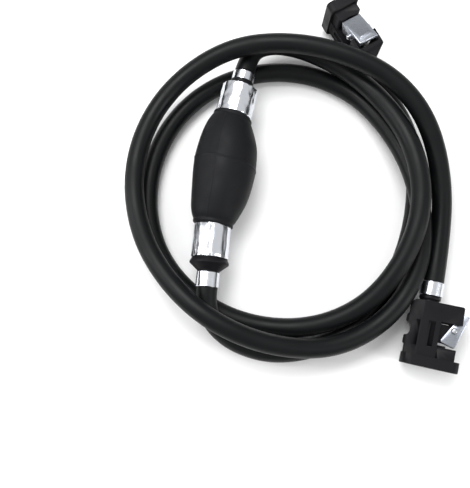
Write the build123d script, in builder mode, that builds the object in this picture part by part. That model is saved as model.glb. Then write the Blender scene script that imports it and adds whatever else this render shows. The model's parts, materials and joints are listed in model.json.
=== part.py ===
from build123d import *
import math
import os

# A marine fuel line: a hand primer bulb between two check-valve ends, a long and a short
# rubber hose, and a latching quick connector at the far end of each hose.
# Millimetres, +Z up, +Y along the bulb towards its outlet, origin on the ground under the
# middle of the bulb.

os.makedirs("parts", exist_ok=True)

# ---------------------------------------------------------------- driving dimensions
BULB_R = 23.0            # widest radius of the belly; the bulb's axis lies this high
BULB_WALL = 3.0
UNIT_HALF = 81.4         # from the middle of the unit to the tip of each small ferrule
END_LEAN = 4.5           # degrees that both ends lean towards +X
TIP_X = 2.3              # where that lean leaves each tip
NECK_R = 12.4
NECK_BORE = 10.4
CRIMP_OUT = 13.5         # large ferrule
CRIMP_WALL = 1.0

HOSE_R = 7.0
HOSE_BORE = 4.0
HOSE_GRIP = 0.5          # the hose ends this far short of each collar
FERRULE_OUT = 8.25       # small hose ferrule
FERRULE_IN = 6.9
BARB_R = 4.1
BARB_RIDGE = 4.6
PORT_R = 2.75

FIT = 0.05               # radial running clearance of pins, stems and guides
PRESS = 0.02             # radial interference of pressed pins

# quick connector, in its own frame: +X towards the flange, +Z towards the lever,
# origin on the fuel axis at the rear face of the body
BODY_HALF = 10.0
CREASE_Z = -3.0          # below this the sides slant in to the underside
BASE_HALF = 6.6
UPRIGHT_TOP = 24.2
UPRIGHT_X = 12.5
CHANNEL_X = 3.6          # the lever's channel in the upright: rear end, floor, half width
CHANNEL_Z = 17.2
CHANNEL_HALF = 8.0
WEB_HALF = 5.75
WEB_X = (14.0, 26.6)
VALLEY_Z = 10.0
BLOCK_X = 30.0
BLOCK_TOP = 22.7
BLOCK_HALF = 9.0
FLANGE_X = (38.0, 45.6)
FLANGE_HALF = 11.5
FLANGE_TOP = 26.4
FLANGE_ROUND = 13.0      # radius of the flange's lower end, about the fuel axis
BASE_Z = -12.0
FOOT_Z = -13.2
DOWEL_Z = 18.3
DOWEL_R = 3.25
DOWEL_RELIEF = 0.35
CHAMBER_R = 6.4
CHAMBER_X = 14.0
BUSH_R = 8.0
BUSH_X = 33.2
RECESS_R = 10.25
RECESS_DEPTH = 3.0
INLET_R = 5.35           # fuel bore that takes the mating nipple
PIN_X, PIN_Z, PIN_R = 17.3, 19.5, 1.9
LEVER_HALF = 7.5
SHEET = 1.2
LEVER_REAR = (5.8, 28.3)
LEVER_FRONT = (28.9, 21.8)
CHEEK_REAR = 5.4         # depth of the lever's cheeks at each end
CHEEK_FRONT = 10.8
LIP_REAR = 2.6
LIP_FRONT = 4.4
COLLAR_LEN = 4.4
SLEEVE_LEN = 10.0        # small ferrule behind the collar
SHANK_R = 5.0
SHANK_X = 13.0

ENGINE_LEVER = (0.973, -0.060, 0.225)   # which way the engine connector's lever points

# hose routes, each from the bulb to its connector
LONG_ROUTE = [
    (2.3, 81.4, 23), (3.3, 92.4, 23), (8.5, 103, 21.8), (22, 110.5, 18), (45, 110.5, 16),
    (78, 97.5, 20.5), (109, 73.5, 26.5), (132, 40, 34.5), (142, -1, 38.5), (135, -42, 33),
    (114, -77, 21), (78, -98, 11), (34, -102, 7.2), (-7, -89.5, 7.2), (-39, -62, 7.2),
    (-55, -23, 7.2), (-54, 20, 7.2), (-36, 59, 7.2), (-1, 87, 7.2), (43, 97, 7.2),
    (83, 88, 7.2), (112, 64, 13), (134.5, 30, 20.5), (147, -8, 23), (148, -47, 22),
    (131, -83, 20), (97, -109, 22), (53, -115, 31), (11, -106, 38), (-24, -84, 32),
    (-52, -51, 24), (-66, -8, 21.5), (-62, 35, 21.5), (-42, 71, 25), (-8, 94.5, 36.5),
    (34, 103, 41), (76, 99, 42), (113, 87, 38.5), (141, 61.5, 31.5), (158, 20, 22.5),
    (162, -24, 16.35), (160.5, -50.4, 15.15),
]
SHORT_ROUTE = [
    (2.3, -81.4, 23), (3.4, -94.5, 22.8), (13, -108, 17.5), (32, -117, 10), (58, -119, 7.2),
    (88, -109, 7.2), (114, -89, 7.2), (131, -61, 7.2), (141, -29, 7.2), (144, 5, 7.2),
    (140, 38, 7.2), (128, 66, 9), (113, 82.3, 13.2), (100.5, 97.9, 13.2),
]


def save(part, name):
    """Label a finished piece and write it to its own file."""
    part.label = name
    export_step(part, f"parts/{name}.step")


def axial_plane(tip, inward):
    """A sketch plane through an axis: local x is the radius, local y runs inward."""
    along = Vector(*inward).normalized()
    radial = Vector(0, 0, 1) - along * along.Z
    return Plane(origin=tip, x_dir=radial, z_dir=radial.cross(along))


def turned(points, tip, inward, mode=Mode.ADD):
    """Revolve an outline of (radius, distance) points about the axis from tip inward."""
    with BuildSketch(axial_plane(tip, inward)) as outline:
        with BuildLine():
            Polyline(*points, close=True)
        make_face()
    revolve(outline.sketch, axis=Axis(tip, inward), mode=mode)


def coil(tip, inward, start, end, radius, wire, turns):
    """A compression spring along an axis, from start to end of its wire's centre line."""
    along = Vector(*inward).normalized()
    base = Vector(*tip) + along * start
    with BuildPart() as spring:
        with BuildLine() as path:
            Helix(pitch=(end - start) / turns, height=end - start, radius=radius,
                  center=base, direction=along)
        with BuildSketch(Plane(origin=path.line @ 0, z_dir=path.line % 0)):
            Circle(wire)
        sweep(path=path.line, is_frenet=True)
    return spring.part


# ---------------------------------------------------------------- the bulb's two ends
LEAN = (math.sin(math.radians(END_LEAN)), math.cos(math.radians(END_LEAN)))
INLET_TIP = (TIP_X, -UNIT_HALF, BULB_R)
INLET_IN = (-LEAN[0], LEAN[1], 0)
OUTLET_TIP = (TIP_X, UNIT_HALF, BULB_R)
OUTLET_IN = (-LEAN[0], -LEAN[1], 0)

# distances from each tip: end of the small ferrule, start and end of the large one
INLET_STEPS = (10.7, 20.6, 44.4)
OUTLET_STEPS = (7.2, 10.5, 35.1)
CAVITY_R = 7.6           # valve chamber
DISC_R = 6.2
DISC_T = 2.0
STEM_R = 1.5
SEAT_R = 4.4
PLUG_SHORT = 4.0         # the plug ends this far inside the large ferrule


def hose_ferrule(tip, inward, length):
    """A thin crimped sleeve over a hose end, with rolled edges and an inner lip."""
    roll = 0.35
    with BuildPart() as sleeve:
        turned([(FERRULE_IN, 0), (FERRULE_OUT - roll, 0), (FERRULE_OUT, roll),
                (FERRULE_OUT, 1.6), (FERRULE_OUT - roll, 2.2),
                (FERRULE_OUT - roll, length - 2.2), (FERRULE_OUT, length - 1.6),
                (FERRULE_OUT, length - roll), (FERRULE_OUT - roll, length),
                (BARB_RIDGE + 0.4, length), (BARB_RIDGE + 0.4, length - 0.4),
                (FERRULE_IN, length - 0.4)], tip, inward)
    return sleeve.part


def barb_outline(length):
    """Outer outline of a barbed stem from its tip to its collar."""
    pitch = 2.6
    count = int((length - 1.2) // pitch)
    points = [(PORT_R, 0.6), (BARB_R - 0.5, 0.6)]
    for ridge in range(count):
        start = 0.8 + ridge * pitch
        points += [(BARB_RIDGE, start + pitch * 0.8), (BARB_R, start + pitch * 0.84)]
    return points + [(BARB_R, length)]


def large_ferrule(tip, inward, start, end, mouth):
    """The crimped sleeve that clamps the bulb's neck, with shallow lengthwise flutes."""
    flutes = 12
    flute_r = 4.5
    flute_depth = 0.35
    shoulder = 2.6
    inner = CRIMP_OUT - CRIMP_WALL
    with BuildPart() as sleeve:
        turned([(mouth, start), (CRIMP_OUT - 1.2, start), (CRIMP_OUT, start + 1.2),
                (CRIMP_OUT, end - 0.5), (CRIMP_OUT - 0.3, end), (inner, end),
                (inner, start + CRIMP_WALL), (mouth, start + CRIMP_WALL)], tip, inward)
        base = Vector(*tip) + Vector(*inward) * (start + shoulder)
        with BuildSketch(Plane(origin=base, z_dir=inward)):
            with PolarLocations(CRIMP_OUT + flute_r - flute_depth, flutes):
                Circle(flute_r)
        extrude(amount=end - start - 2 * shoulder, mode=Mode.SUBTRACT)
    return sleeve.part


def valve_housing(tip, inward, steps, collar, seat_at, open_from, open_to):
    """A moulded end: hose barb, collar and the plug that holds the check valve."""
    small, start, end = steps
    plug_end = end - PLUG_SHORT
    with BuildPart() as housing:
        turned(barb_outline(small) + collar
               + [(NECK_BORE - PRESS, start + CRIMP_WALL + 0.2),
                  (NECK_BORE - PRESS, plug_end - 0.8), (NECK_BORE - 0.9, plug_end),
                  (PORT_R, plug_end)], tip, inward)
        turned([(0, open_from), (CAVITY_R, open_from), (CAVITY_R, open_to), (0, open_to)],
               tip, inward, Mode.SUBTRACT)
        turned([(0, 0), (PORT_R, 0), (PORT_R, seat_at), (0, seat_at)],
               tip, inward, Mode.SUBTRACT)
    return housing.part


def disc(tip, inward, face, stem_end):
    """A valve disc whose sealing face lies at one distance, with a guide stem."""
    side = 1 if stem_end > face else -1
    with BuildPart() as valve:
        turned([(0, face), (DISC_R - 0.6, face), (DISC_R, face + side * 0.6),
                (DISC_R, face + side * DISC_T), (STEM_R, face + side * DISC_T),
                (STEM_R, stem_end - side * 0.4), (STEM_R - 0.4, stem_end), (0, stem_end)],
               tip, inward)
    return valve.part


# inlet: the chamber opens into the bulb, and a spider at its mouth guides the stem
inlet_seat = INLET_STEPS[1] + 4
inlet_mouth = INLET_STEPS[2] - PLUG_SHORT
inlet_collar = [(7.9, 10.7), (7.9, 11.5), (13.9, 16.6), (14.0, 17.6), (12.6, 20.5),
                (8.6, 20.5), (8.6, 21.8)]
save(valve_housing(INLET_TIP, INLET_IN, INLET_STEPS, inlet_collar,
                   inlet_seat + 0.1, inlet_seat, inlet_mouth + 0.1), "inlet_valve_housing")
save(disc(INLET_TIP, INLET_IN, inlet_seat + FIT, inlet_mouth + 1), "inlet_valve_disc")

spider_t = 2.0
with BuildPart() as inlet_spider:
    turned([(CAVITY_R - 1.6, inlet_mouth - spider_t - 1), (CAVITY_R + PRESS, inlet_mouth - spider_t - 1),
            (CAVITY_R + PRESS, inlet_mouth - 1), (CAVITY_R - 1.6, inlet_mouth - 1)],
           INLET_TIP, INLET_IN)
    turned([(STEM_R + FIT, inlet_mouth - spider_t - 1), (3.0, inlet_mouth - spider_t - 1),
            (3.0, inlet_mouth - 1), (STEM_R + FIT, inlet_mouth - 1)], INLET_TIP, INLET_IN)
    arm_start = Vector(*INLET_TIP) + Vector(*INLET_IN) * (inlet_mouth - spider_t - 1)
    with BuildSketch(Plane(origin=arm_start, z_dir=INLET_IN)):
        with PolarLocations((CAVITY_R + 1.4) / 2, 3):
            Rectangle(CAVITY_R - 4.0, 1.6)
    extrude(amount=spider_t)
save(inlet_spider.part, "inlet_valve_retainer")
save(coil(INLET_TIP, INLET_IN, inlet_seat + DISC_T + 0.5,
          inlet_mouth - spider_t - 1.5, 2.6, 0.35, 5), "inlet_valve_spring")

# outlet: the chamber is closed on the bulb's side by a pressed seat ring
outlet_floor = OUTLET_STEPS[1] + 3
outlet_face = OUTLET_STEPS[2] - PLUG_SHORT - 3
outlet_mouth = OUTLET_STEPS[2] - PLUG_SHORT
outlet_collar = [(7.9, 7.2), (8.4, 7.6), (8.6, 8.6), (8.6, 10.5), (8.6, 11.7)]
save(valve_housing(OUTLET_TIP, OUTLET_IN, OUTLET_STEPS, outlet_collar,
                   outlet_floor + 0.1, outlet_floor, outlet_mouth + 0.1),
     "outlet_valve_housing")
save(disc(OUTLET_TIP, OUTLET_IN, outlet_face - FIT, 8.0), "outlet_valve_disc")
with BuildPart() as outlet_seat:
    turned([(SEAT_R, outlet_face), (CAVITY_R + PRESS, outlet_face),
            (CAVITY_R + PRESS, outlet_mouth - 0.4), (SEAT_R + 1.2, outlet_mouth - 0.4)],
           OUTLET_TIP, OUTLET_IN)
save(outlet_seat.part, "outlet_valve_seat")
save(coil(OUTLET_TIP, OUTLET_IN, outlet_floor + 0.5,
          outlet_face - DISC_T - 0.6, 4.2, 0.35, 5), "outlet_valve_spring")

save(hose_ferrule(INLET_TIP, INLET_IN, INLET_STEPS[0]), "inlet_hose_ferrule")
save(hose_ferrule(OUTLET_TIP, OUTLET_IN, OUTLET_STEPS[0]), "outlet_hose_ferrule")
save(large_ferrule(INLET_TIP, INLET_IN, INLET_STEPS[1], INLET_STEPS[2], 8.65),
     "inlet_bulb_ferrule")
save(large_ferrule(OUTLET_TIP, OUTLET_IN, OUTLET_STEPS[1], OUTLET_STEPS[2], 8.65),
     "outlet_bulb_ferrule")

# ---------------------------------------------------------------- primer bulb
BELLY = [(-35.2, 15.0), (-16.0, 20.5), (9.0, BULB_R - 0.03), (31.0, 20.0), (44.4, 15.0)]
BULB_PLANE = Plane(origin=(0, 0, BULB_R), x_dir=(0, 1, 0), z_dir=(1, 0, 0))
BULB_AXIS = Axis((0, 0, BULB_R), (0, 1, 0))


def belly(inset, mode):
    """The egg-shaped belly, or its cavity a wall's thickness inside."""
    first, last = BELLY[0][0] + inset * 0.4, BELLY[-1][0] - inset * 0.4
    with BuildSketch(BULB_PLANE) as outline:
        with BuildLine():
            Polyline((last, BELLY[-1][1] - inset), (last, 0), (first, 0),
                     (first, BELLY[0][1] - inset))
            Spline((first, BELLY[0][1] - inset),
                   *[(y, r - inset) for y, r in BELLY[1:-1]],
                   (last, BELLY[-1][1] - inset))
        make_face()
    revolve(outline.sketch, axis=BULB_AXIS, mode=mode)


with BuildPart() as primer_bulb:
    belly(0, Mode.ADD)
    for tip, inward, steps in ((INLET_TIP, INLET_IN, INLET_STEPS),
                               (OUTLET_TIP, OUTLET_IN, OUTLET_STEPS)):
        neck_start = steps[1] + CRIMP_WALL + 0.3
        turned([(0, neck_start), (NECK_R, neck_start), (NECK_R, steps[2] + 0.3),
                (14.6, steps[2] + 0.3), (14.8, steps[2] + 1.5), (14.3, steps[2] + 4.5),
                (0, steps[2] + 4.5)], tip, inward)
    belly(BULB_WALL, Mode.SUBTRACT)
    for tip, inward, steps in ((INLET_TIP, INLET_IN, INLET_STEPS),
                               (OUTLET_TIP, OUTLET_IN, OUTLET_STEPS)):
        turned([(0, steps[1]), (NECK_BORE, steps[1]), (NECK_BORE, steps[2] + 6),
                (0, steps[2] + 6)], tip, inward, Mode.SUBTRACT)
save(primer_bulb.part, "primer_bulb")

# ---------------------------------------------------------------- hoses


def corner_radii(route):
    """The largest tangent arc at each corner that leaves a straight middle in each run."""
    points = [Vector(*point) for point in route]
    radii = []
    for before, here, after in zip(points, points[1:], points[2:]):
        come, go = here - before, after - here
        half_turn = math.radians(come.get_angle(go)) / 2
        radii.append(0.45 * min(come.length, go.length) / math.tan(half_turn))
    return radii


def hose(route, name, grips):
    """A rubber tube along a route, with a straight end pushed into each ferrule.

    A smooth tube of the same section and length has volume / (section x length) of 1.
    """
    radii = corner_radii(route)
    with BuildPart() as tube:
        with BuildLine() as path:
            free = FilletPolyline(*route, radius=radii)
            mouth = free @ 0 - (free % 0) * grips[0]
            Line(mouth, free @ 0)
            Line(free @ 1, free @ 1 + (free % 1) * grips[1])
        for radius, mode in ((HOSE_R, Mode.ADD), (HOSE_BORE, Mode.SUBTRACT)):
            with BuildSketch(Plane(origin=mouth, z_dir=free % 0)):
                Circle(radius)
            sweep(path=path.line, mode=mode)
    area = math.pi * (HOSE_R ** 2 - HOSE_BORE ** 2)
    length = free.length
    print(name, "length", round(length, 1), "least radius", round(min(radii), 1),
          "radii", [round(radius) for radius in radii],
          "volume / (section x length)",
          round(tube.part.volume / area / (length + sum(grips)), 4))
    save(tube.part, name)


hose(LONG_ROUTE, "long_hose", (OUTLET_STEPS[0] - HOSE_GRIP, SLEEVE_LEN - HOSE_GRIP))
hose(SHORT_ROUTE, "short_hose", (INLET_STEPS[0] - HOSE_GRIP, SLEEVE_LEN - HOSE_GRIP))

# ---------------------------------------------------------------- quick connector pieces
SIDE = Plane.XZ          # local x forward, local y up; a sketch here extrudes to the side
REAR = (0, 0, 0)
FORWARD = (1, 0, 0)
SLOPE = math.atan2(LEVER_REAR[1] - LEVER_FRONT[1], LEVER_FRONT[0] - LEVER_REAR[0])
LEVER_DROP = (-math.sin(SLOPE), -math.cos(SLOPE))   # square to the lever's top, downwards
SPRING_X = 7.6


def lever_point(along, down):
    """A point of the lever's side view: a share of its length, and a depth below its top."""
    x = LEVER_REAR[0] + along * (LEVER_FRONT[0] - LEVER_REAR[0]) + down * LEVER_DROP[0]
    z = LEVER_REAR[1] + along * (LEVER_FRONT[1] - LEVER_REAR[1]) + down * LEVER_DROP[1]
    return (x, z)


def plate(points, half_width, mode=Mode.ADD):
    """Extrude a side-view outline to both sides of the middle plane."""
    with BuildSketch(SIDE) as outline:
        with BuildLine():
            Polyline(*points, close=True)
        make_face()
    extrude(outline.sketch, amount=half_width, both=True, mode=mode)


with BuildPart() as connector_body:
    # upright, bed and front block in side view, cut to a section with slanted lower sides
    plate([(0, BASE_Z + 3.5), (2.2, BASE_Z), (FLANGE_X[0] + 0.2, BASE_Z),
           (FLANGE_X[0] + 0.2, VALLEY_Z), (UPRIGHT_X, VALLEY_Z), (UPRIGHT_X, UPRIGHT_TOP),
           (0.8, UPRIGHT_TOP - 0.4), (0, UPRIGHT_TOP - 1.2)], BODY_HALF)
    with BuildSketch(Plane.YZ):
        with BuildLine():
            Polyline((-BODY_HALF, FLANGE_TOP), (BODY_HALF, FLANGE_TOP), (BODY_HALF, CREASE_Z),
                     (BASE_HALF, BASE_Z), (-BASE_HALF, BASE_Z), (-BODY_HALF, CREASE_Z),
                     close=True)
        make_face()
        fillet(vertices().group_by(Axis.Z)[0], radius=1.2)
    extrude(amount=FLANGE_X[1], mode=Mode.INTERSECT)
    # channel in the upright for the thumb end of the lever
    channel_middle = (CHANNEL_X + UPRIGHT_X + 1) / 2
    with BuildSketch(Plane.XY.offset(CHANNEL_Z)):
        with Locations((channel_middle, 0)):
            RectangleRounded(UPRIGHT_X + 1 - CHANNEL_X, 2 * CHANNEL_HALF, 0.8)
    extrude(amount=UPRIGHT_TOP, mode=Mode.SUBTRACT)
    # front block under the dowel hole, with fins on its rear face
    with BuildSketch(Plane.XY.offset(VALLEY_Z - 0.5)):
        with Locations(((BLOCK_X + FLANGE_X[0] + 2) / 2, 0)):
            RectangleRounded(FLANGE_X[0] + 2 - BLOCK_X, 2 * BLOCK_HALF, 1.6)
    extrude(amount=BLOCK_TOP - VALLEY_Z + 0.5)
    fin_depth = 1.3
    with BuildSketch(Plane.XY.offset(VALLEY_Z - 0.5)):
        with GridLocations(0, 3.4, 1, 4):
            with Locations((BLOCK_X - fin_depth / 2 + 0.3, 0)):
                Rectangle(fin_depth + 0.6, 1.0)
    extrude(amount=6.2)
    # web that carries the lever's pin, joined to the upright above the slot
    plate([(11.0, CHANNEL_Z - 1.2), (11.0, 21.6), (14, 22.8), (20, 21.4), (23.5, 19.6),
           (WEB_X[1], 16.2), (WEB_X[1], VALLEY_Z - 0.2), (WEB_X[0], VALLEY_Z - 0.2),
           (WEB_X[0], CHANNEL_Z - 1.2)], WEB_HALF)
    # feet on the underside, with a finger hollow between them
    plate([(10.0, BASE_Z + 1), (10.8, FOOT_Z + 0.8), (11.6, FOOT_Z), (15.4, FOOT_Z),
           (18.6, BASE_Z + 1)], BASE_HALF - 1.3)
    plate([(24.2, BASE_Z + 1), (26.6, FOOT_Z), (31.0, FOOT_Z), (32.0, FOOT_Z + 0.8),
           (32.6, BASE_Z + 1)], BASE_HALF - 1.3)
    with BuildSketch(SIDE):
        with Locations((21.3, BASE_Z)):
            Ellipse(4.6, 2.4)
    extrude(amount=BODY_HALF, both=True, mode=Mode.SUBTRACT)
    # flange plate: square shoulders above, round below
    with BuildSketch(Plane.YZ.offset(FLANGE_X[0])):
        Circle(FLANGE_ROUND)
        with Locations((0, FLANGE_TOP / 2)):
            Rectangle(2 * FLANGE_HALF, FLANGE_TOP)
        with Locations((FLANGE_HALF + 5, 0), (-FLANGE_HALF - 5, 0)):
            Rectangle(10, 3 * FLANGE_ROUND, mode=Mode.SUBTRACT)
        fillet(vertices().group_by(Axis.Z)[-1], radius=3.6)
    extrude(amount=FLANGE_X[1] - FLANGE_X[0])
    fillet(connector_body.faces().sort_by(Axis.X)[-1].outer_wire().edges(), radius=0.7)
    # two long stepped pockets in each side
    for side in (-1, 1):
        for low, high, outer, inner in ((2.0, 6.6, 13.4, 31.4), (-9.2, -3.8, 13.4, 32.4)):
            for step, floor in ((0, BODY_HALF - 0.8), (1.3, BODY_HALF - 1.7)):
                pocket = Plane(origin=(0, side * (BODY_HALF + 1), 0), x_dir=(1, 0, 0),
                               z_dir=(0, side, 0))
                middle = side * -(low + high + step) / 2
                with BuildSketch(pocket):
                    with Locations(((outer + inner) / 2, middle)):
                        Rectangle(inner - outer - step, high - low - step)
                extrude(amount=floor - BODY_HALF - 1, mode=Mode.SUBTRACT)
    # fuel way, its face recess and the dowel hole
    turned([(0, -1), (SHANK_R - PRESS, -1), (SHANK_R - PRESS, SHANK_X), (PORT_R, SHANK_X),
            (PORT_R, CHAMBER_X), (CHAMBER_R, CHAMBER_X), (CHAMBER_R, BUSH_X),
            (BUSH_R, BUSH_X), (BUSH_R, FLANGE_X[1] - RECESS_DEPTH),
            (RECESS_R, FLANGE_X[1] - RECESS_DEPTH), (RECESS_R, FLANGE_X[1] + 1),
            (0, FLANGE_X[1] + 1)], REAR, FORWARD, Mode.SUBTRACT)
    with BuildSketch(Plane.YZ.offset(BLOCK_X - 2)):
        with Locations((0, DOWEL_Z)):
            Circle(DOWEL_R)
    extrude(amount=FLANGE_X[1] - BLOCK_X + 3, mode=Mode.SUBTRACT)
    # pin hole, and the blind pocket of the lever's spring
    with BuildSketch(SIDE):
        with Locations((PIN_X, PIN_Z)):
            Circle(PIN_R - PRESS)
    extrude(amount=WEB_HALF + 1, both=True, mode=Mode.SUBTRACT)
    with BuildSketch(Plane.XY.offset(13.0)):
        with Locations((SPRING_X, 0)):
            Circle(2.9)
    extrude(amount=UPRIGHT_TOP, mode=Mode.SUBTRACT)

# The moulding is kept as two nodes that meet face to face behind the flange. The dowel hole
# is a little wider behind the flange, which alone locates the dowel.
FLANGE_REAR = Plane.YZ.offset(FLANGE_X[0])
with BuildPart() as flange:
    add(connector_body.part)
    split(bisect_by=FLANGE_REAR, keep=Keep.TOP)
with BuildPart() as housing:
    add(connector_body.part)
    split(bisect_by=FLANGE_REAR, keep=Keep.BOTTOM)
    with BuildSketch(Plane.YZ.offset(BLOCK_X - 2)):
        with Locations((0, DOWEL_Z)):
            Circle(DOWEL_R + DOWEL_RELIEF)
    extrude(amount=FLANGE_X[0] - BLOCK_X + 2, mode=Mode.SUBTRACT)

with BuildPart() as lever:
    length = math.dist(LEVER_REAR, LEVER_FRONT)
    wall = SHEET / length
    plate([lever_point(0, 0), lever_point(1, 0), lever_point(1, CHEEK_FRONT - 0.8),
           lever_point(1 - wall, CHEEK_FRONT), lever_point(0, CHEEK_REAR)], LEVER_HALF)
    plate([lever_point(wall, SHEET), lever_point(1 - wall, SHEET),
           lever_point(1 - wall, 14), lever_point(wall, 14)],
          LEVER_HALF - SHEET, Mode.SUBTRACT)
    plate([lever_point(0.9, LIP_FRONT), lever_point(1.1, LIP_FRONT), lever_point(1.1, 14),
           lever_point(0.9, 14)], LEVER_HALF - SHEET, Mode.SUBTRACT)
    plate([lever_point(-0.1, LIP_REAR), lever_point(0.1, LIP_REAR), lever_point(0.1, 14),
           lever_point(-0.1, 14)], LEVER_HALF - SHEET, Mode.SUBTRACT)
    top = lever.faces().filter_by(lambda face: face.normal_at().Z > 0.9)
    fillet(top.sort_by(SortBy.AREA)[-1].outer_wire().edges(), radius=0.9)
    # notch in the front lip that straddles the neck of the dowel
    with BuildSketch(Plane.YZ.offset(LEVER_FRONT[0] - 3)):
        with Locations((0, 17.8)):
            Circle(2.2)
    extrude(amount=5, mode=Mode.SUBTRACT)
    # pressed bosses round the pin, and its holes
    for side in (-1, 1):
        boss = Plane(origin=(PIN_X, side * (LEVER_HALF - SHEET / 2), PIN_Z), x_dir=(1, 0, 0),
                     z_dir=(0, side, 0))
        with BuildSketch(boss):
            Circle(2.7)
        extrude(amount=SHEET / 2 + 0.4)
    with BuildSketch(SIDE):
        with Locations((PIN_X, PIN_Z)):
            Circle(PIN_R + FIT)
    extrude(amount=LEVER_HALF + 1, both=True, mode=Mode.SUBTRACT)
    # a plain pressed rib across the thumb end
    rib = Plane(origin=(lever_point(0.2, 0)[0], 0, lever_point(0.2, 0)[1]),
                x_dir=(math.cos(SLOPE), 0, -math.sin(SLOPE)),
                z_dir=(math.sin(SLOPE), 0, math.cos(SLOPE)))
    with BuildSketch(rib):
        RectangleRounded(1.8, 9, 0.8)
    extrude(amount=0.35)

PIN_REACH = LEVER_HALF + 2.3
with BuildPart() as lever_pin:
    turned([(0, -PIN_REACH), (PIN_R - 0.5, -PIN_REACH), (PIN_R, 0.5 - PIN_REACH),
            (PIN_R, 1.1 - PIN_REACH), (PIN_R - 0.35, 1.4 - PIN_REACH), (PIN_R, 1.7 - PIN_REACH),
            (PIN_R, PIN_REACH - 1.7), (PIN_R - 0.35, PIN_REACH - 1.4),
            (PIN_R, PIN_REACH - 1.1), (PIN_R, PIN_REACH - 0.5), (PIN_R - 0.5, PIN_REACH),
            (0, PIN_REACH)], (PIN_X, 0, PIN_Z), (0, 1, 0))

lever_spring = coil((SPRING_X, 0, 13.5), (0, 0, 1), 0, 12.1, 2.3, 0.35, 6)

FACE_X = FLANGE_X[1] - RECESS_DEPTH      # floor of the recess
BUSH_FACE = FACE_X + 1.4
with BuildPart() as fuel_bushing:
    turned([(4.2, BUSH_X + 0.1), (BUSH_R - 0.02, BUSH_X + 0.1), (BUSH_R - 0.02, FACE_X),
            (RECESS_R - 0.2, FACE_X), (RECESS_R - 0.2, BUSH_FACE), (INLET_R + 0.5, BUSH_FACE),
            (INLET_R, BUSH_FACE - 0.5), (INLET_R, 40.4), (7.35, 40.4), (7.35, 38.3),
            (INLET_R, 38.3), (INLET_R, BUSH_X + 2), (4.2, BUSH_X + 2)], REAR, FORWARD)

with BuildPart() as retaining_ring:
    turned([(8.6, BUSH_FACE), (9.75, BUSH_FACE), (9.75, BUSH_FACE + 0.9),
            (9.5, BUSH_FACE + 1.1), (8.8, BUSH_FACE + 1.1), (8.6, BUSH_FACE + 0.9)],
           REAR, FORWARD)

with BuildPart() as o_ring:
    with BuildSketch(SIDE):
        with Locations((39.35, 6.36)):
            Circle(0.95)
    revolve(axis=Axis.X)

with BuildPart() as plunger:
    turned([(0, 9.0), (1.2, 9.0), (1.6, 9.6), (1.6, 29.9), (5.0, 29.9), (5.0, 32.2),
            (4.4, BUSH_X), (3.5, BUSH_X), (3.5, 38.4), (2.9, 39.0), (0, 39.0)],
           REAR, FORWARD)

plunger_spring = coil(REAR, FORWARD, CHAMBER_X + 0.5, 29.4, 4.2, 0.45, 6)

with BuildPart() as hose_barb:
    stem = [(PORT_R, SHANK_X), (PORT_R, -13.8), (BARB_R - 0.5, -13.8)]
    for ridge in range(3):
        start = -13.6 + ridge * 2.6
        stem += [(BARB_RIDGE, start + 2.1), (BARB_R, start + 2.2)]
    turned(stem + [(BARB_R, -COLLAR_LEN), (7.1, -COLLAR_LEN), (7.5, -4.0), (7.5, -1.9),
                   (6.7, -1.6), (6.7, -1.1), (7.3, -0.8), (7.3, 0), (SHANK_R, 0),
                   (SHANK_R, SHANK_X)], REAR, FORWARD)

sleeve_tip = (-COLLAR_LEN - SLEEVE_LEN, 0, 0)
connector_ferrule = hose_ferrule(sleeve_tip, FORWARD, SLEEVE_LEN)

CONNECTOR_PIECES = {
    "body": housing.part,
    "flange": flange.part,
    "lever": lever.part,
    "lever_pin": lever_pin.part,
    "lever_spring": lever_spring,
    "fuel_bushing": fuel_bushing.part,
    "retaining_ring": retaining_ring.part,
    "o_ring": o_ring.part,
    "plunger": plunger.part,
    "plunger_spring": plunger_spring,
    "hose_barb": hose_barb.part,
    "hose_ferrule": connector_ferrule,
}

# ---------------------------------------------------------------- both connectors in place


def connector_plane(route, lever_up):
    """The connector's own frame, with its ferrule's mouth at the end of a hose route."""
    end = Vector(*route[-1])
    forward = (end - Vector(*route[-2])).normalized()
    up = Vector(*lever_up)
    up = (up - forward * up.dot(forward)).normalized()
    return Plane(origin=end + forward * (COLLAR_LEN + SLEEVE_LEN), x_dir=forward, z_dir=up)


PLACES = {"tank": connector_plane(SHORT_ROUTE, (0, 0, 1)),
          "engine": connector_plane(LONG_ROUTE, ENGINE_LEVER)}
for end, place in PLACES.items():
    print(end, "frame", place)
    for piece, shape in CONNECTOR_PIECES.items():
        with BuildPart() as placed:
            with Locations(place.location):
                add(shape)
        save(placed.part, f"{end}_{piece}")
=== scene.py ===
# %% [markdown]
# # A fuel line with a primer bulb
# The object is a hand-squeezed rubber bulb with a check valve at each end, two rubber hoses
# and a latching quick connector on each hose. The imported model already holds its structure,
# so this lesson only dresses it: hoses as smooth curves, a moulded bulb, crimped bands,
# rounded plastic edges, and one finish for each real material. All lengths are in metres.

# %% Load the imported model
import json
import math

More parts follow.
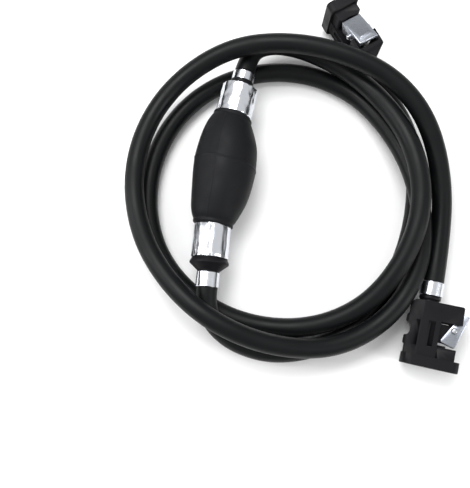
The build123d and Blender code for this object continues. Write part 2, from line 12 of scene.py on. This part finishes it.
import bpy
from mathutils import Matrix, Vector
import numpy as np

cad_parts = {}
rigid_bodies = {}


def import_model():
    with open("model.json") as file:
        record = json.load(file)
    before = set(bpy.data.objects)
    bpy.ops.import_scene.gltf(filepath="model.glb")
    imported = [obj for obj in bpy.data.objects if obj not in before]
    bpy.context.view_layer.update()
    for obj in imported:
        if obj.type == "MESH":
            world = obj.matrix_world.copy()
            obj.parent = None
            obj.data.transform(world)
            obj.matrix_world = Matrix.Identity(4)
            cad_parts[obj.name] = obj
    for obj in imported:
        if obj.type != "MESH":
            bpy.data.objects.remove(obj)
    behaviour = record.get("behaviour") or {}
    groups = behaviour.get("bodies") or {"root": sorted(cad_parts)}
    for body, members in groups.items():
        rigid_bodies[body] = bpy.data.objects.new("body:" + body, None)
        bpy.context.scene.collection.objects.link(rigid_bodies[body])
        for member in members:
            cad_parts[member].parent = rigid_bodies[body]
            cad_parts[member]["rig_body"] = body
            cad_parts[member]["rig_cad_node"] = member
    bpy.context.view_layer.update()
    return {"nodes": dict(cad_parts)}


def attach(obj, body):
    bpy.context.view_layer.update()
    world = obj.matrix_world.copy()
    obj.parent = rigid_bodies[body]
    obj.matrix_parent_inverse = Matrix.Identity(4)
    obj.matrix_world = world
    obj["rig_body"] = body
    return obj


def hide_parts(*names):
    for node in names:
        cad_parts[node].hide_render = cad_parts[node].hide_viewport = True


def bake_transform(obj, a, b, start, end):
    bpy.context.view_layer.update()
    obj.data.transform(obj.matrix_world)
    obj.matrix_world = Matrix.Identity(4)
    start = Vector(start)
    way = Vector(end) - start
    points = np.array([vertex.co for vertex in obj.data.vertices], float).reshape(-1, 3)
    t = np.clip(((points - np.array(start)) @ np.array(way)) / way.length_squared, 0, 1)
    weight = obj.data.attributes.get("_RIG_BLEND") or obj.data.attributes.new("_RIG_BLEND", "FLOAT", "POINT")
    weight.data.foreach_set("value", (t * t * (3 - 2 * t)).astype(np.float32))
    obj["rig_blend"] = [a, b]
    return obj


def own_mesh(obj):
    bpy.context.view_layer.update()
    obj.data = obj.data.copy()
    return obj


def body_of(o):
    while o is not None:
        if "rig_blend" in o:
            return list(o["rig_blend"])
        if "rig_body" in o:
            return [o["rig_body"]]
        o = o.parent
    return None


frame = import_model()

nodes = frame["nodes"]

# %% [markdown]
# ## Camera
# The line lies on a table and is looked at from almost straight above, a little from its
# front. A normal lens half a metre away gives the gentle perspective of a product view.

# %% Camera
LENS_MM = 48
eye = Vector((0.0302, -0.1285, 0.4776))
look = Vector((-0.0293, 0.1752, -0.9840))
camera_data = bpy.data.cameras.new("camera")
camera_data.lens = LENS_MM
camera = bpy.data.objects.new("camera", camera_data)
bpy.context.scene.collection.objects.link(camera)
camera.location = eye
camera.rotation_euler = look.to_track_quat("-Z", "Y").to_euler()
bpy.context.scene.camera = camera
print("camera", [round(value, 3) for value in eye])

# %% [markdown]
# ## Hoses
# Both hoses are extruded rubber, 14 mm thick, and fall into loose turns that pass over and
# under each other. A NURBS spline steered by a few dozen control points bends the way stiff
# hose does, without kinks, and cuts a little inside them. The points are the imported model's
# own: worked out by relaxing a stiff line between its crossings, then rounded and moved.
# The hose swells a little where a barb stretches it.

# %% Hose routes and curves
HOSE_RADIUS = 0.007
END_SWELL = 1.09               # how much a barb stretches the hose
LONG_ROUTE = [
    (0.0023, 0.0814, 0.023), (0.0033, 0.0924, 0.023), (0.0085, 0.103, 0.0218),
    (0.022, 0.1105, 0.018), (0.045, 0.1105, 0.016), (0.078, 0.0975, 0.0205),
    (0.109, 0.0735, 0.0265), (0.132, 0.040, 0.0345), (0.142, -0.001, 0.0385),
    (0.135, -0.042, 0.033), (0.114, -0.077, 0.021), (0.078, -0.098, 0.011),
    (0.034, -0.102, 0.0072), (-0.007, -0.0895, 0.0072), (-0.039, -0.062, 0.0072),
    (-0.055, -0.023, 0.0072), (-0.054, 0.020, 0.0072), (-0.036, 0.059, 0.0072),
    (-0.001, 0.087, 0.0072), (0.043, 0.097, 0.0072), (0.083, 0.088, 0.0072),
    (0.112, 0.064, 0.013), (0.1345, 0.030, 0.0205), (0.147, -0.008, 0.023),
    (0.148, -0.047, 0.022), (0.131, -0.083, 0.020), (0.097, -0.109, 0.022),
    (0.053, -0.115, 0.031), (0.011, -0.106, 0.038), (-0.024, -0.084, 0.032),
    (-0.052, -0.051, 0.024), (-0.066, -0.008, 0.0215), (-0.062, 0.035, 0.0215),
    (-0.042, 0.071, 0.025), (-0.008, 0.0945, 0.0365), (0.034, 0.103, 0.041),
    (0.076, 0.099, 0.042), (0.113, 0.087, 0.0385), (0.141, 0.0615, 0.0315),
    (0.158, 0.020, 0.0225), (0.162, -0.024, 0.01635), (0.1605, -0.0504, 0.01515),
]
SHORT_ROUTE = [
    (0.0023, -0.0814, 0.023), (0.0034, -0.0945, 0.0228), (0.013, -0.108, 0.0175),
    (0.032, -0.117, 0.010), (0.058, -0.119, 0.0072), (0.088, -0.109, 0.0072),
    (0.114, -0.089, 0.0072), (0.131, -0.061, 0.0072), (0.141, -0.029, 0.0072),
    (0.144, 0.005, 0.0072), (0.140, 0.038, 0.0072), (0.128, 0.066, 0.009),
    (0.113, 0.0823, 0.0132), (0.1005, 0.0979, 0.0132),
]


def hose(name, route):
    """One open spline with a round section, a little thicker at its two ends."""
    curve = bpy.data.curves.new(name, "CURVE")
    curve.dimensions = "3D"
    curve.resolution_u = 14
    curve.bevel_depth = 1          # so that a point's radius is the hose's, in metres
    curve.bevel_resolution = 9
    curve.use_fill_caps = True
    spline = curve.splines.new("NURBS")
    spline.points.add(len(route) - 1)
    for point, place in zip(spline.points, route):
        point.co = (*place, 1)
        point.radius = HOSE_RADIUS
    for end in (0, -1):
        spline.points[end].radius = HOSE_RADIUS * END_SWELL
    spline.order_u = 3
    spline.use_endpoint_u = True
    piece = bpy.data.objects.new(name, curve)
    bpy.context.scene.collection.objects.link(piece)
    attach(piece, "root")
    return piece


long_hose = hose("long_rubber_hose", LONG_ROUTE)
short_hose = hose("short_rubber_hose", SHORT_ROUTE)
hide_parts("long_hose")
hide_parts("short_hose")
print("hoses", long_hose.name, short_hose.name)

# %% [markdown]
# ## Node helper
# The room and every finish are small graphs of shader nodes. One function adds a node with
# its settings, its constants and its links, so a graph reads as a list of what it does.

# %% Colour and node helpers
def srgb(code):
    """A hex sRGB colour as linear red, green, blue and alpha."""
    parts = [int(code[place:place + 2], 16) / 255 for place in (1, 3, 5)]
    return (*[part / 12.92 if part <= 0.04045 else ((part + 0.055) / 1.055) ** 2.4
              for part in parts], 1)


def add(owner, kind, inputs=None, links=None, **settings):
    """A node in a material or a world, with its settings, constants and incoming links."""
    node = owner.node_tree.nodes.new(kind)
    for name, value in settings.items():
        setattr(node, name, value)
    for name, value in (inputs or {}).items():
        node.inputs[name].default_value = value
    for name, source in (links or {}).items():
        owner.node_tree.links.new(source, node.inputs[name])
    return node


# %% [markdown]
# ## Table and light
# A pale table top and large soft lamps, as in a small product studio. Black rubber only
# shows its form through the lamps' soft reflections, and bright steel needs some darker
# surroundings beside the lamps, so the room darkens from white overhead to grey at the table.

# %% Table, room and lamps
ROOM_STRENGTH = 0.75
TABLE_SIZE = 6
HORIZON_TOP = 0.45             # sine of the height at which the walls give way to white
HORIZON_GREY = 0.28            # how bright the walls are at table height
scene = bpy.context.scene
scene.view_settings.view_transform = "Standard"
bpy.ops.mesh.primitive_plane_add(size=TABLE_SIZE)
table = bpy.context.active_object
table.name = "table_top"

room = bpy.data.worlds.new("room")
scene.world = room
room.use_nodes = True
backdrop = room.node_tree.nodes["Background"]
backdrop.inputs["Strength"].default_value = ROOM_STRENGTH
direction = add(room, "ShaderNodeTexCoord").outputs["Generated"]
axes = add(room, "ShaderNodeSeparateXYZ", links={"Vector": direction})
height = add(room, "ShaderNodeMapRange", {"From Max": HORIZON_TOP, "To Min": HORIZON_GREY},
             {"Value": axes.outputs["Z"]})
room.node_tree.links.new(height.outputs["Result"], backdrop.inputs["Color"])


def lamp(name, place, aim, size, watts):
    """A rectangular soft lamp that points at a place on the table."""
    data = bpy.data.lights.new(name, "AREA")
    data.shape = "RECTANGLE"
    data.size, data.size_y = size
    data.energy = watts
    lamp_object = bpy.data.objects.new(name, data)
    lamp_object.location = place
    lamp_object.rotation_euler = (Vector(aim) - Vector(place)).to_track_quat("-Z", "Y").to_euler()
    scene.collection.objects.link(lamp_object)


lamp("overhead_softbox", (-0.25, 0.35, 0.95), (0.04, 0.0, 0.0), (0.7, 0.5), 9)
lamp("left_strip", (-0.85, -0.1, 0.55), (0.0, 0.0, 0.02), (0.25, 0.9), 5)
lamp("right_strip", (0.95, -0.25, 0.5), (0.05, 0.0, 0.02), (0.25, 0.8), 4)

# %% [markdown]
# ## Helpers for modelling
# Operators act on whatever is selected, so a step first clears the selection and then picks
# vertices or faces by their place. A turned shape grows ring by ring: extrude a circle, move
# it on, scale it.

# %% Selection and ring modelling
def only(piece):
    """Deselect everything, then select one piece and make it active."""
    for item in bpy.context.selected_objects:
        item.select_set(False)
    piece.hide_set(False)
    piece.select_set(True)
    bpy.context.view_layer.objects.active = piece


def grow(name, rings, segments, facing=(math.pi / 2, 0, 0), hollow=False):
    """A turned shape through rings of (centre, radius, lean), each extruded from the last.

    Lean is a ring's turn about the vertical, in degrees. A hollow shape joins its last ring
    back to its first; any other has both ends filled.
    """
    centre, radius, lean = rings[0]
    only(table)
    bpy.ops.mesh.primitive_circle_add(vertices=segments, radius=radius, location=centre,
                                      rotation=facing)
    piece = bpy.context.active_object
    piece.name = piece.data.name = name
    bpy.ops.object.transform_apply(location=True, rotation=True, scale=True)
    bpy.ops.object.mode_set(mode="EDIT")
    bpy.ops.mesh.select_all(action="SELECT")
    for next_centre, next_radius, next_lean in rings[1:]:
        step = Vector(next_centre) - Vector(centre)
        bpy.ops.mesh.extrude_region_move(TRANSFORM_OT_translate={"value": step})
        factor = next_radius / radius
        bpy.ops.transform.resize(value=(factor, factor, factor), center_override=next_centre)
        if next_lean != lean:
            bpy.ops.transform.rotate(value=-math.radians(next_lean - lean), orient_axis="Z",
                                     center_override=next_centre)
        centre, radius, lean = next_centre, next_radius, next_lean
    bpy.ops.mesh.select_all(action="DESELECT")
    bpy.ops.mesh.select_non_manifold()
    if hollow:
        bpy.ops.mesh.bridge_edge_loops()
    else:
        bpy.ops.mesh.fill_holes(sides=0)
    bpy.ops.mesh.select_all(action="SELECT")
    bpy.ops.mesh.normals_make_consistent(inside=False)
    bpy.ops.object.mode_set(mode="OBJECT")
    return piece


def smooth(piece, degrees):
    """Smooth shading that keeps edges sharper than an angle."""
    only(piece)
    bpy.ops.object.shade_smooth_by_angle(angle=math.radians(degrees))


# %% [markdown]
# ## Primer bulb
# The bulb is moulded in one piece: a thin rim at each neck, a short cone, and an egg-shaped
# belly that is fullest above its middle. A raised line runs round it where the mould's core
# met, and another runs lengthwise over it. It grows ring by ring, so the two seams are
# only extra rings and a bevelled line of edges.

# %% Bulb profile
BULB_HEIGHT = 0.023
LEAN = 4.5                     # degrees that each neck turns away from the belly's line
TIP_X, TIP_Y = 0.0023, 0.0814
FULLEST = 0.0229               # radius of the belly at the round seam
SEAM_Y = 0.0085                # where the round seam stands along the bulb
SEAM_HALF = 0.0006
SEAM_RISE = 0.00028
BULB_SEGMENTS = 96


def axis_x(y):
    """How far the bulb's centre line stands from x = 0: it leans at both ends."""
    straight = TIP_X - (TIP_Y - abs(y)) * math.tan(math.radians(LEAN))
    start, end = (0.012, 0.037) if y < 0 else (0.024, 0.047)
    share = min(1.0, max(0.0, (abs(y) - start) / (end - start)))
    return straight * share * share * (3 - 2 * share)


def lean_at(y):
    """The ring's turn at a place along the bulb, in degrees."""
    start, end = (0.012, 0.040) if y < 0 else (0.024, 0.049)
    share = min(1.0, max(0.0, (abs(y) - start) / (end - start)))
    return (LEAN if y < 0 else -LEAN) * share


belly = [(-0.0560, 0.0122), (-0.0372, 0.0123), (-0.0369, 0.0142), (-0.0364, 0.0146),
         (-0.0352, 0.01465), (-0.0346, 0.0143), (-0.0340, 0.01455), (-0.0320, 0.0160),
         (-0.0280, 0.0174), (-0.0220, 0.0191), (-0.0150, 0.0206), (-0.0070, 0.0218),
         (0.0000, 0.0225), (0.0050, 0.0228),
         (SEAM_Y - 2.4 * SEAM_HALF, FULLEST), (SEAM_Y - SEAM_HALF, FULLEST),
         (SEAM_Y - 0.5 * SEAM_HALF, FULLEST + SEAM_RISE),
         (SEAM_Y + 0.5 * SEAM_HALF, FULLEST + SEAM_RISE),
         (SEAM_Y + SEAM_HALF, FULLEST), (SEAM_Y + 2.4 * SEAM_HALF, 0.02285),
         (0.0140, 0.0226), (0.0200, 0.0220), (0.0265, 0.0211), (0.0325, 0.0194), (0.0380, 0.0173),
         (0.0415, 0.0157), (0.0432, 0.01455), (0.0438, 0.0143), (0.0444, 0.01465),
         (0.0456, 0.0146), (0.0461, 0.0142), (0.0464, 0.0123), (0.0660, 0.0122)]
bulb_rings = [((axis_x(y), y, BULB_HEIGHT), radius, lean_at(y)) for y, radius in belly]
bulb = grow("primer_bulb_rubber", bulb_rings, BULB_SEGMENTS)
print("bulb", len(bulb.data.polygons), "faces")

# %% [markdown]
# The lengthwise line is one row of edges, bevelled into a narrow strip whose middle is
# raised. Subdividing then rounds it. Squeezing moves only the top of the bulb: below the
# start of the press nothing follows the hand, above its end everything does.

# %% Lengthwise mould line
def pick(piece, test, mode="EDGE"):
    """Go into edit mode with only the vertices, or edges, that pass a test of place."""
    only(piece)
    bpy.ops.object.mode_set(mode="EDIT")
    bpy.ops.mesh.select_mode(type=mode)
    bpy.ops.mesh.select_all(action="DESELECT")
    bpy.ops.object.mode_set(mode="OBJECT")
    places = piece.data.vertices
    if mode == "VERT":
        for place in places:
            place.select = test(place.co)
    else:
        for edge in piece.data.edges:
            edge.select = all(test(places[index].co) for index in edge.vertices)
    bpy.ops.object.mode_set(mode="EDIT")


LINE_TURN = 14                 # degrees from the top towards -X
LINE_HALF_TURN = 1.9
LINE_WIDTH = 0.0005
LINE_RISE = SEAM_RISE * 0.8


def on_line(place):
    """On the belly, on the one line of vertices where the mould's halves met."""
    turn = math.degrees(math.atan2(axis_x(place.y) - place.x, place.z - BULB_HEIGHT))
    return -0.0345 < place.y < 0.0436 and abs(turn - LINE_TURN) < LINE_HALF_TURN


pick(bulb, on_line)
bpy.ops.mesh.bevel(offset=LINE_WIDTH, segments=3, affect="EDGES")
bpy.ops.mesh.select_less()
bpy.ops.transform.shrink_fatten(value=LINE_RISE)
bpy.ops.object.mode_set(mode="OBJECT")
smoother = bulb.modifiers.new("smoother", "SUBSURF")
smoother.levels = smoother.render_levels = 1
only(bulb)
bpy.ops.object.modifier_apply(modifier=smoother.name)
smooth(bulb, 50)
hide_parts("primer_bulb")
PRESS_START, PRESS_END = 0.0365, 0.046
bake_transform(bulb, "root", "bulb", (0, 0, PRESS_START), (0, 0, PRESS_END))
print("bulb", len(bulb.data.polygons), "faces with its mould lines")

# %% [markdown]
# ## Crimped bands
# Each joint is held by a steel band squeezed on by a ring of jaws. The jaws leave shallow
# creases along the band, and the soft rubber beneath lets the sheet buckle a little between
# them, which is why its reflections look wavy. The bands grow as hollow rings, the creases
# are pressed in column by column, and a fine cloud pattern buckles the sheet.

# %% Bands
BAND_SEGMENTS = 96
LARGE_BAND = (0.0135, 0.01245)     # outer and inner radius
SMALL_BAND = (0.00825, 0.0069)
BAND_EDGE = 0.0003                 # how far the bands' edges are rounded back
SHARPEST = 40                      # degrees; sharper edges of a band stay crisp


def band(name, tip, inward, start, end, radii, steps):
    """A hollow band along an axis, from one distance off its tip to another."""
    outer, inner = radii
    first, last = start + BAND_EDGE, end - BAND_EDGE
    stops = [first + (last - first) * index / steps for index in range(steps + 1)]
    profile = [(start, outer - BAND_EDGE)] + [(stop, outer) for stop in stops]
    profile += [(end, outer - BAND_EDGE), (last, inner), (first, inner)]
    origin, along = Vector(tip), Vector(inward).normalized()
    rings = [(origin + along * distance, radius, 0) for distance, radius in profile]
    facing = along.to_track_quat("Z", "Y").to_euler()
    return grow(name, rings, BAND_SEGMENTS, tuple(facing), hollow=True)


def crease(piece, tip, inward, lines, depth, width):
    """Press lengthwise creases into a band, evenly spaced round its axis."""
    origin, along = Vector(tip), Vector(inward).normalized()
    side = along.cross(Vector((0, 0, 1))).normalized()
    up = side.cross(along)

    def in_crease(place):
        arm = place - origin
        arm -= along * arm.dot(along)
        turn = math.degrees(math.atan2(arm.dot(side), arm.dot(up))) % (360 / lines)
        return arm.length > sum(LARGE_BAND) / 2 and min(turn, 360 / lines - turn) < width

    pick(piece, in_crease, "VERT")
    bpy.ops.transform.shrink_fatten(value=-depth)
    bpy.ops.object.mode_set(mode="OBJECT")


def buckle(piece, scale, depth):
    """Dent a sheet with a cloud pattern of a given size, then keep the result as mesh."""
    clouds = bpy.data.textures.new(piece.name + "_dents", "CLOUDS")
    clouds.noise_scale = scale
    clouds.noise_depth = 1
    dents = piece.modifiers.new("dents", "DISPLACE")
    dents.texture = clouds
    dents.texture_coords = "LOCAL"
    dents.strength = depth
    dents.mid_level = 0.6
    only(piece)
    bpy.ops.object.modifier_apply(modifier=dents.name)
    smooth(piece, SHARPEST)


INLET_TIP, OUTLET_TIP = (TIP_X, -TIP_Y, BULB_HEIGHT), (TIP_X, TIP_Y, BULB_HEIGHT)
TILT = math.radians(LEAN)
INLET_INWARD = (-math.sin(TILT), math.cos(TILT), 0)
OUTLET_INWARD = (-math.sin(TILT), -math.cos(TILT), 0)
inlet_band = band("inlet_bulb_band", INLET_TIP, INLET_INWARD, start=0.0206, end=0.0444,
                  radii=LARGE_BAND, steps=9)
crease(inlet_band, INLET_TIP, INLET_INWARD, lines=8, depth=0.00022, width=4)
buckle(inlet_band, scale=0.0042, depth=0.0007)
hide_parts("inlet_bulb_ferrule")
outlet_band = band("outlet_bulb_band", OUTLET_TIP, OUTLET_INWARD, start=0.0130, end=0.0351,
                   radii=LARGE_BAND, steps=24)
crease(outlet_band, OUTLET_TIP, OUTLET_INWARD, lines=6, depth=0.00018, width=4)
buckle(outlet_band, scale=0.0042, depth=0.0008)
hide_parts("outlet_bulb_ferrule")

inlet_clamp = band("inlet_hose_band", INLET_TIP, INLET_INWARD, start=0, end=0.0107,
                   radii=SMALL_BAND, steps=8)
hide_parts("inlet_hose_ferrule")
outlet_clamp = band("outlet_hose_band", OUTLET_TIP, OUTLET_INWARD, start=0.0010, end=0.0082,
                    radii=SMALL_BAND, steps=6)
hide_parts("outlet_hose_ferrule")
bands = [inlet_band, outlet_band, inlet_clamp, outlet_clamp]
for piece in bands:
    smooth(piece, SHARPEST)
    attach(piece, "root")
print("bands", [len(piece.data.polygons) for piece in bands])

# %% [markdown]
# The same small band holds the hose on each connector's barb. It starts where the hose's
# route ends and points the way the hose does.

# %% Bands on the connectors
ROUTE_END = {"tank": SHORT_ROUTE[-2:], "engine": LONG_ROUTE[-2:]}
FORWARD = {end: (Vector(last) - Vector(before)).normalized()
           for end, (before, last) in ROUTE_END.items()}
CONNECTOR_BAND = 0.010             # length of the band on a connector
connector_bands = {}
for end in ("tank", "engine"):
    mouth = ROUTE_END[end][-1]
    piece = band(end + "_hose_band", mouth, FORWARD[end], start=0, end=CONNECTOR_BAND,
                 radii=SMALL_BAND, steps=8)
    smooth(piece, SHARPEST)
    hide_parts(end + "_hose_ferrule")
    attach(piece, "root")
    connector_bands[end] = piece
print("connector bands", sorted(connector_bands))

# %% [markdown]
# ## Eased edges
# Moulded nylon, pressed sheet and turned pins never have knife edges. A copy of each visible
# connector part gets its triangles merged back to flat faces and its edges eased by a fraction
# of a millimetre, so that they catch the light. Body and flange are one moulding on the real
# connector, so their copies are joined.

# %% Rounded copies of the connector parts
EASED = {"body": (0.00028, "moulded_nylon"), "lever": (0.00012, "stainless_sheet"),
         "lever_pin": (0.00015, "stainless_bar"), "hose_barb": (0.0002, "moulded_nylon")}
SAME_PLACE = 0.000002          # vertices closer than this are one
FLAT_WITHIN = 1                # degrees; faces that meet flatter than this are one
EASE_FROM = 38                 # degrees; edges sharper than this are eased


def plain_copy(node):
    """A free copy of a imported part, for a step to work on."""
    only(nodes[node])
    bpy.ops.object.duplicate()
    piece = bpy.context.active_object
    piece.name = piece.data.name = node + "_eased"
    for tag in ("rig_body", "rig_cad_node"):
        if tag in piece:
            del piece[tag]
    bpy.ops.object.parent_clear(type="CLEAR_KEEP_TRANSFORM")
    bpy.ops.object.transform_apply(location=True, rotation=True, scale=True)
    return piece


def flat_copy(node):
    """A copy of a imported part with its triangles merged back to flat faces."""
    piece = plain_copy(node)
    bpy.ops.object.mode_set(mode="EDIT")
    bpy.ops.mesh.select_all(action="SELECT")
    bpy.ops.mesh.remove_doubles(threshold=SAME_PLACE)
    bpy.ops.mesh.dissolve_limited(angle_limit=math.radians(FLAT_WITHIN))
    bpy.ops.mesh.normals_make_consistent(inside=False)
    bpy.ops.object.mode_set(mode="OBJECT")
    return piece


def rounded(node, width, *joined):
    """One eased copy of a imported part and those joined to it, which then stands for them."""
    piece = flat_copy(node)
    for other_node in joined:
        other = flat_copy(other_node)
        union = piece.modifiers.new("union", "BOOLEAN")
        union.operation = "UNION"
        union.object = other
        only(piece)
        bpy.ops.object.modifier_apply(modifier=union.name)
        only(other)
        bpy.ops.object.delete()
    only(piece)
    ease = piece.modifiers.new("ease", "BEVEL")
    ease.width = width
    ease.segments = 2
    ease.limit_method = "ANGLE"
    ease.angle_limit = math.radians(EASE_FROM)
    bpy.ops.object.modifier_apply(modifier=ease.name)
    smooth(piece, 30)
    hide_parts(node, *joined)
    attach(piece, body_of(nodes[node])[0])
    return piece


eased = {}
for end in ("tank", "engine"):
    for part, (width, finish) in EASED.items():
        joined = [end + "_flange"] if part == "body" else []     # one moulding, two nodes
        piece = rounded(end + "_" + part, width, *joined)
        eased[end + "_" + part] = piece
print("eased", {name: len(piece.data.polygons) for name, piece in eased.items()})

# %% [markdown]
# ## Springs
# A coil spring has one still end and one that follows a valve disc, a plunger or the lever.
# Each spring is a smooth-shaded copy of its imported part, held still on the root body.

# %% Spring copies
LEVER_SIDE = {"tank": Vector((0, 0, 1)), "engine": Vector((0.973, -0.060, 0.225))}
LEVER_UP = {end: side - FORWARD[end] * side.dot(FORWARD[end])
            for end, side in LEVER_SIDE.items()}
VALVE_LIFT, PLUNGER_PUSH, LEVER_PRESS = 0.003, 0.005, 0.0029   # travel of the valve disc, the plunger and the lever


def spring(node):
    """A smooth-shaded copy of an imported spring, held still on the root body."""
    piece = plain_copy(node)
    smooth(piece, SHARPEST)
    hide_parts(node)
    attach(piece, "root")
    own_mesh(piece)
    return piece


springs = [spring("inlet_valve_spring"),
           spring("outlet_valve_spring")]
for end in ("tank", "engine"):
    for part, push, travel in (("lever", LEVER_UP, LEVER_PRESS), ("plunger", FORWARD, PLUNGER_PUSH)):
        piece = spring(end + "_" + part + "_spring")
        eased[end + "_" + part + "_spring"] = piece
        springs.append(piece)
print("springs", len(springs))

# %% [markdown]
# ## Finishes
# Every material is named for the real one. Colours are sRGB codes turned into the linear
# values that the shader wants, and pattern sizes come from real millimetres: an object's own
# coordinates are in metres, so a grain of N millimetres is a texture scale of 1000 / N.

# %% Finish helpers
def finish_of(name, colour, roughness, metallic=0, specular=0.5):
    """A new material and its shader, with plain values set on the shader's own sockets."""
    material = bpy.data.materials.new(name)
    material.use_nodes = True
    shader = material.node_tree.nodes["Principled BSDF"]
    shader.inputs["Base Color"].default_value = srgb(colour)
    shader.inputs["Roughness"].default_value = roughness
    shader.inputs["Metallic"].default_value = metallic
    shader.inputs["Specular IOR Level"].default_value = specular
    return material, shader


def grain(material, shader, size_mm, height_mm, stretch=(1, 1, 1), detail=3):
    """Fine relief of a given grain size and height, in the object's own space."""
    place = add(material, "ShaderNodeTexCoord").outputs["Object"]
    squeezed = add(material, "ShaderNodeMapping", {"Scale": stretch}, {"Vector": place})
    noise = add(material, "ShaderNodeTexNoise", {"Scale": 1000 / size_mm, "Detail": detail},
                {"Vector": squeezed.outputs["Vector"]})
    bump = add(material, "ShaderNodeBump", {"Strength": 1, "Distance": height_mm / 1000},
               {"Height": noise.outputs["Fac"]})
    material.node_tree.links.new(bump.outputs["Normal"], shader.inputs["Normal"])
    return squeezed.outputs["Vector"]


def vary(material, shader, socket, place, size_mm, low, high):
    """Let a value drift between two limits in patches of a given size."""
    noise = add(material, "ShaderNodeTexNoise", {"Scale": 1000 / size_mm, "Detail": 2},
                {"Vector": place})
    spread = add(material, "ShaderNodeMapRange",
                 {"From Min": 0.35, "From Max": 0.65, "To Min": low, "To Max": high},
                 {"Value": noise.outputs["Fac"]})
    material.node_tree.links.new(spread.outputs["Result"], shader.inputs[socket])


# %% [markdown]
# ### Soft finishes
# Moulded and extruded rubber differ mostly in sheen, and filled nylon shows the pebbled skin
# of its mould, so each is a near-black colour with its own roughness and its own grain.

# %% Rubber, nylon and acetal
# Moulded bulb rubber: matte, with the dull bloom that handling leaves in patches.
bulb_rubber, shader = finish_of("moulded bulb rubber", "#101113", 0.62, specular=0.15)
place = grain(bulb_rubber, shader, 0.5, 0.012)
vary(bulb_rubber, shader, "Roughness", place, 18, 0.5, 0.66)

# Extruded hose rubber: smoother than the bulb, with a soft sheen.
hose_rubber, shader = finish_of("extruded hose rubber", "#090b0c", 0.45, specular=0.16)
place = grain(hose_rubber, shader, 0.8, 0.010)
vary(hose_rubber, shader, "Roughness", place, 30, 0.36, 0.5)

# Glass-filled nylon: charcoal black, its skin lightly pebbled by the spark-cut mould.
nylon, shader = finish_of("moulded glass-filled nylon", "#0e0e11", 0.5, specular=0.15)
place = grain(nylon, shader, 0.35, 0.014)
vary(nylon, shader, "Roughness", place, 9, 0.42, 0.58)

# Natural acetal: off-white and waxy, used for the valve parts inside.
acetal, shader = finish_of("natural acetal", "#dcd9cf", 0.4, specular=0.5)
grain(acetal, shader, 1.5, 0.004)

# Nitrile rubber of the seals: dense black, slightly wet-looking.
nitrile, shader = finish_of("nitrile seal rubber", "#141415", 0.35, specular=0.5)
grain(nitrile, shader, 0.6, 0.004)
print("soft finishes", bulb_rubber.name, hose_rubber.name, nylon.name)

# %% [markdown]
# ### Steel
# All metal here is stainless or plated. What tells band, sheet, bar and wire apart is how
# bright they are and how their last working step left the surface.

# %% Steel
# Bright plated band: a near mirror, softened by fine rolling marks round the strip.
band_steel, shader = finish_of("bright plated steel band", "#dcdfe5", 0.2, metallic=1)
place = grain(band_steel, shader, 1.2, 0.0005, stretch=(1, 6, 1))
vary(band_steel, shader, "Roughness", place, 6, 0.16, 0.26)

# Turned ring: bright, with lathe marks too fine to see singly.
turned_steel, shader = finish_of("turned stainless ring", "#d4d5d6", 0.2, metallic=1)
grain(turned_steel, shader, 0.4, 0.002)

# Pressed lever sheet: warm grey stainless with a directional mill finish.
sheet_steel, shader = finish_of("pressed stainless sheet", "#9fa3ab", 0.34, metallic=1)
place = grain(sheet_steel, shader, 0.5, 0.002, stretch=(1, 12, 1))
vary(sheet_steel, shader, "Roughness", place, 5, 0.24, 0.36)

# Drawn pin and plunger bar: stainless, given one roughness all over.
bar_steel, shader = finish_of("drawn stainless bar", "#b2b4b8", 0.28, metallic=1)
grain(bar_steel, shader, 0.6, 0.002)

# Spring wire: cold-drawn stainless, greyer than the bar.
wire_steel, shader = finish_of("stainless spring wire", "#b4b4b4", 0.3, metallic=1)
grain(wire_steel, shader, 0.4, 0.002)
print("steel finishes", band_steel.name, sheet_steel.name)

# %% [markdown]
# ### Dressing
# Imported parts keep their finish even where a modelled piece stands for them.

# %% Dress every part
def dress(material, *pieces):
    """Give pieces one material each."""
    for piece in pieces:
        piece.data.materials.clear()
        piece.data.materials.append(material)


dress(bulb_rubber, bulb, nodes["primer_bulb"])
dress(hose_rubber, long_hose, short_hose, nodes["long_hose"], nodes["short_hose"])
dress(band_steel, *bands, *connector_bands.values())
for side in ("inlet", "outlet"):
    dress(band_steel, nodes[side + "_bulb_ferrule"], nodes[side + "_hose_ferrule"])
    dress(nylon, nodes[side + "_valve_housing"])
    dress(nitrile, nodes[side + "_valve_disc"])
    dress(wire_steel, nodes[side + "_valve_spring"])
dress(wire_steel, *springs)
dress(acetal, nodes["inlet_valve_retainer"], nodes["outlet_valve_seat"])
for end in ("tank", "engine"):
    dress(nylon, nodes[end + "_body"], nodes[end + "_flange"], nodes[end + "_hose_barb"])
    dress(nylon, nodes[end + "_fuel_bushing"])
    dress(nylon, eased[end + "_body"], eased[end + "_hose_barb"])
    dress(sheet_steel, nodes[end + "_lever"], eased[end + "_lever"])
    dress(bar_steel, nodes[end + "_lever_pin"], eased[end + "_lever_pin"], nodes[end + "_plunger"])
    dress(wire_steel, nodes[end + "_lever_spring"], nodes[end + "_plunger_spring"])
    dress(turned_steel, nodes[end + "_retaining_ring"])
    dress(nitrile, nodes[end + "_o_ring"])
    dress(band_steel, nodes[end + "_hose_ferrule"])
bare = [name for name, item in nodes.items() if not item.data.materials]
print("parts without a finish", bare)

# Painted table top: a plain, very pale matte white.
white_paint, shader = finish_of("white table paint", "#f2f2f2", 0.9, specular=0.1)
dress(white_paint, table)
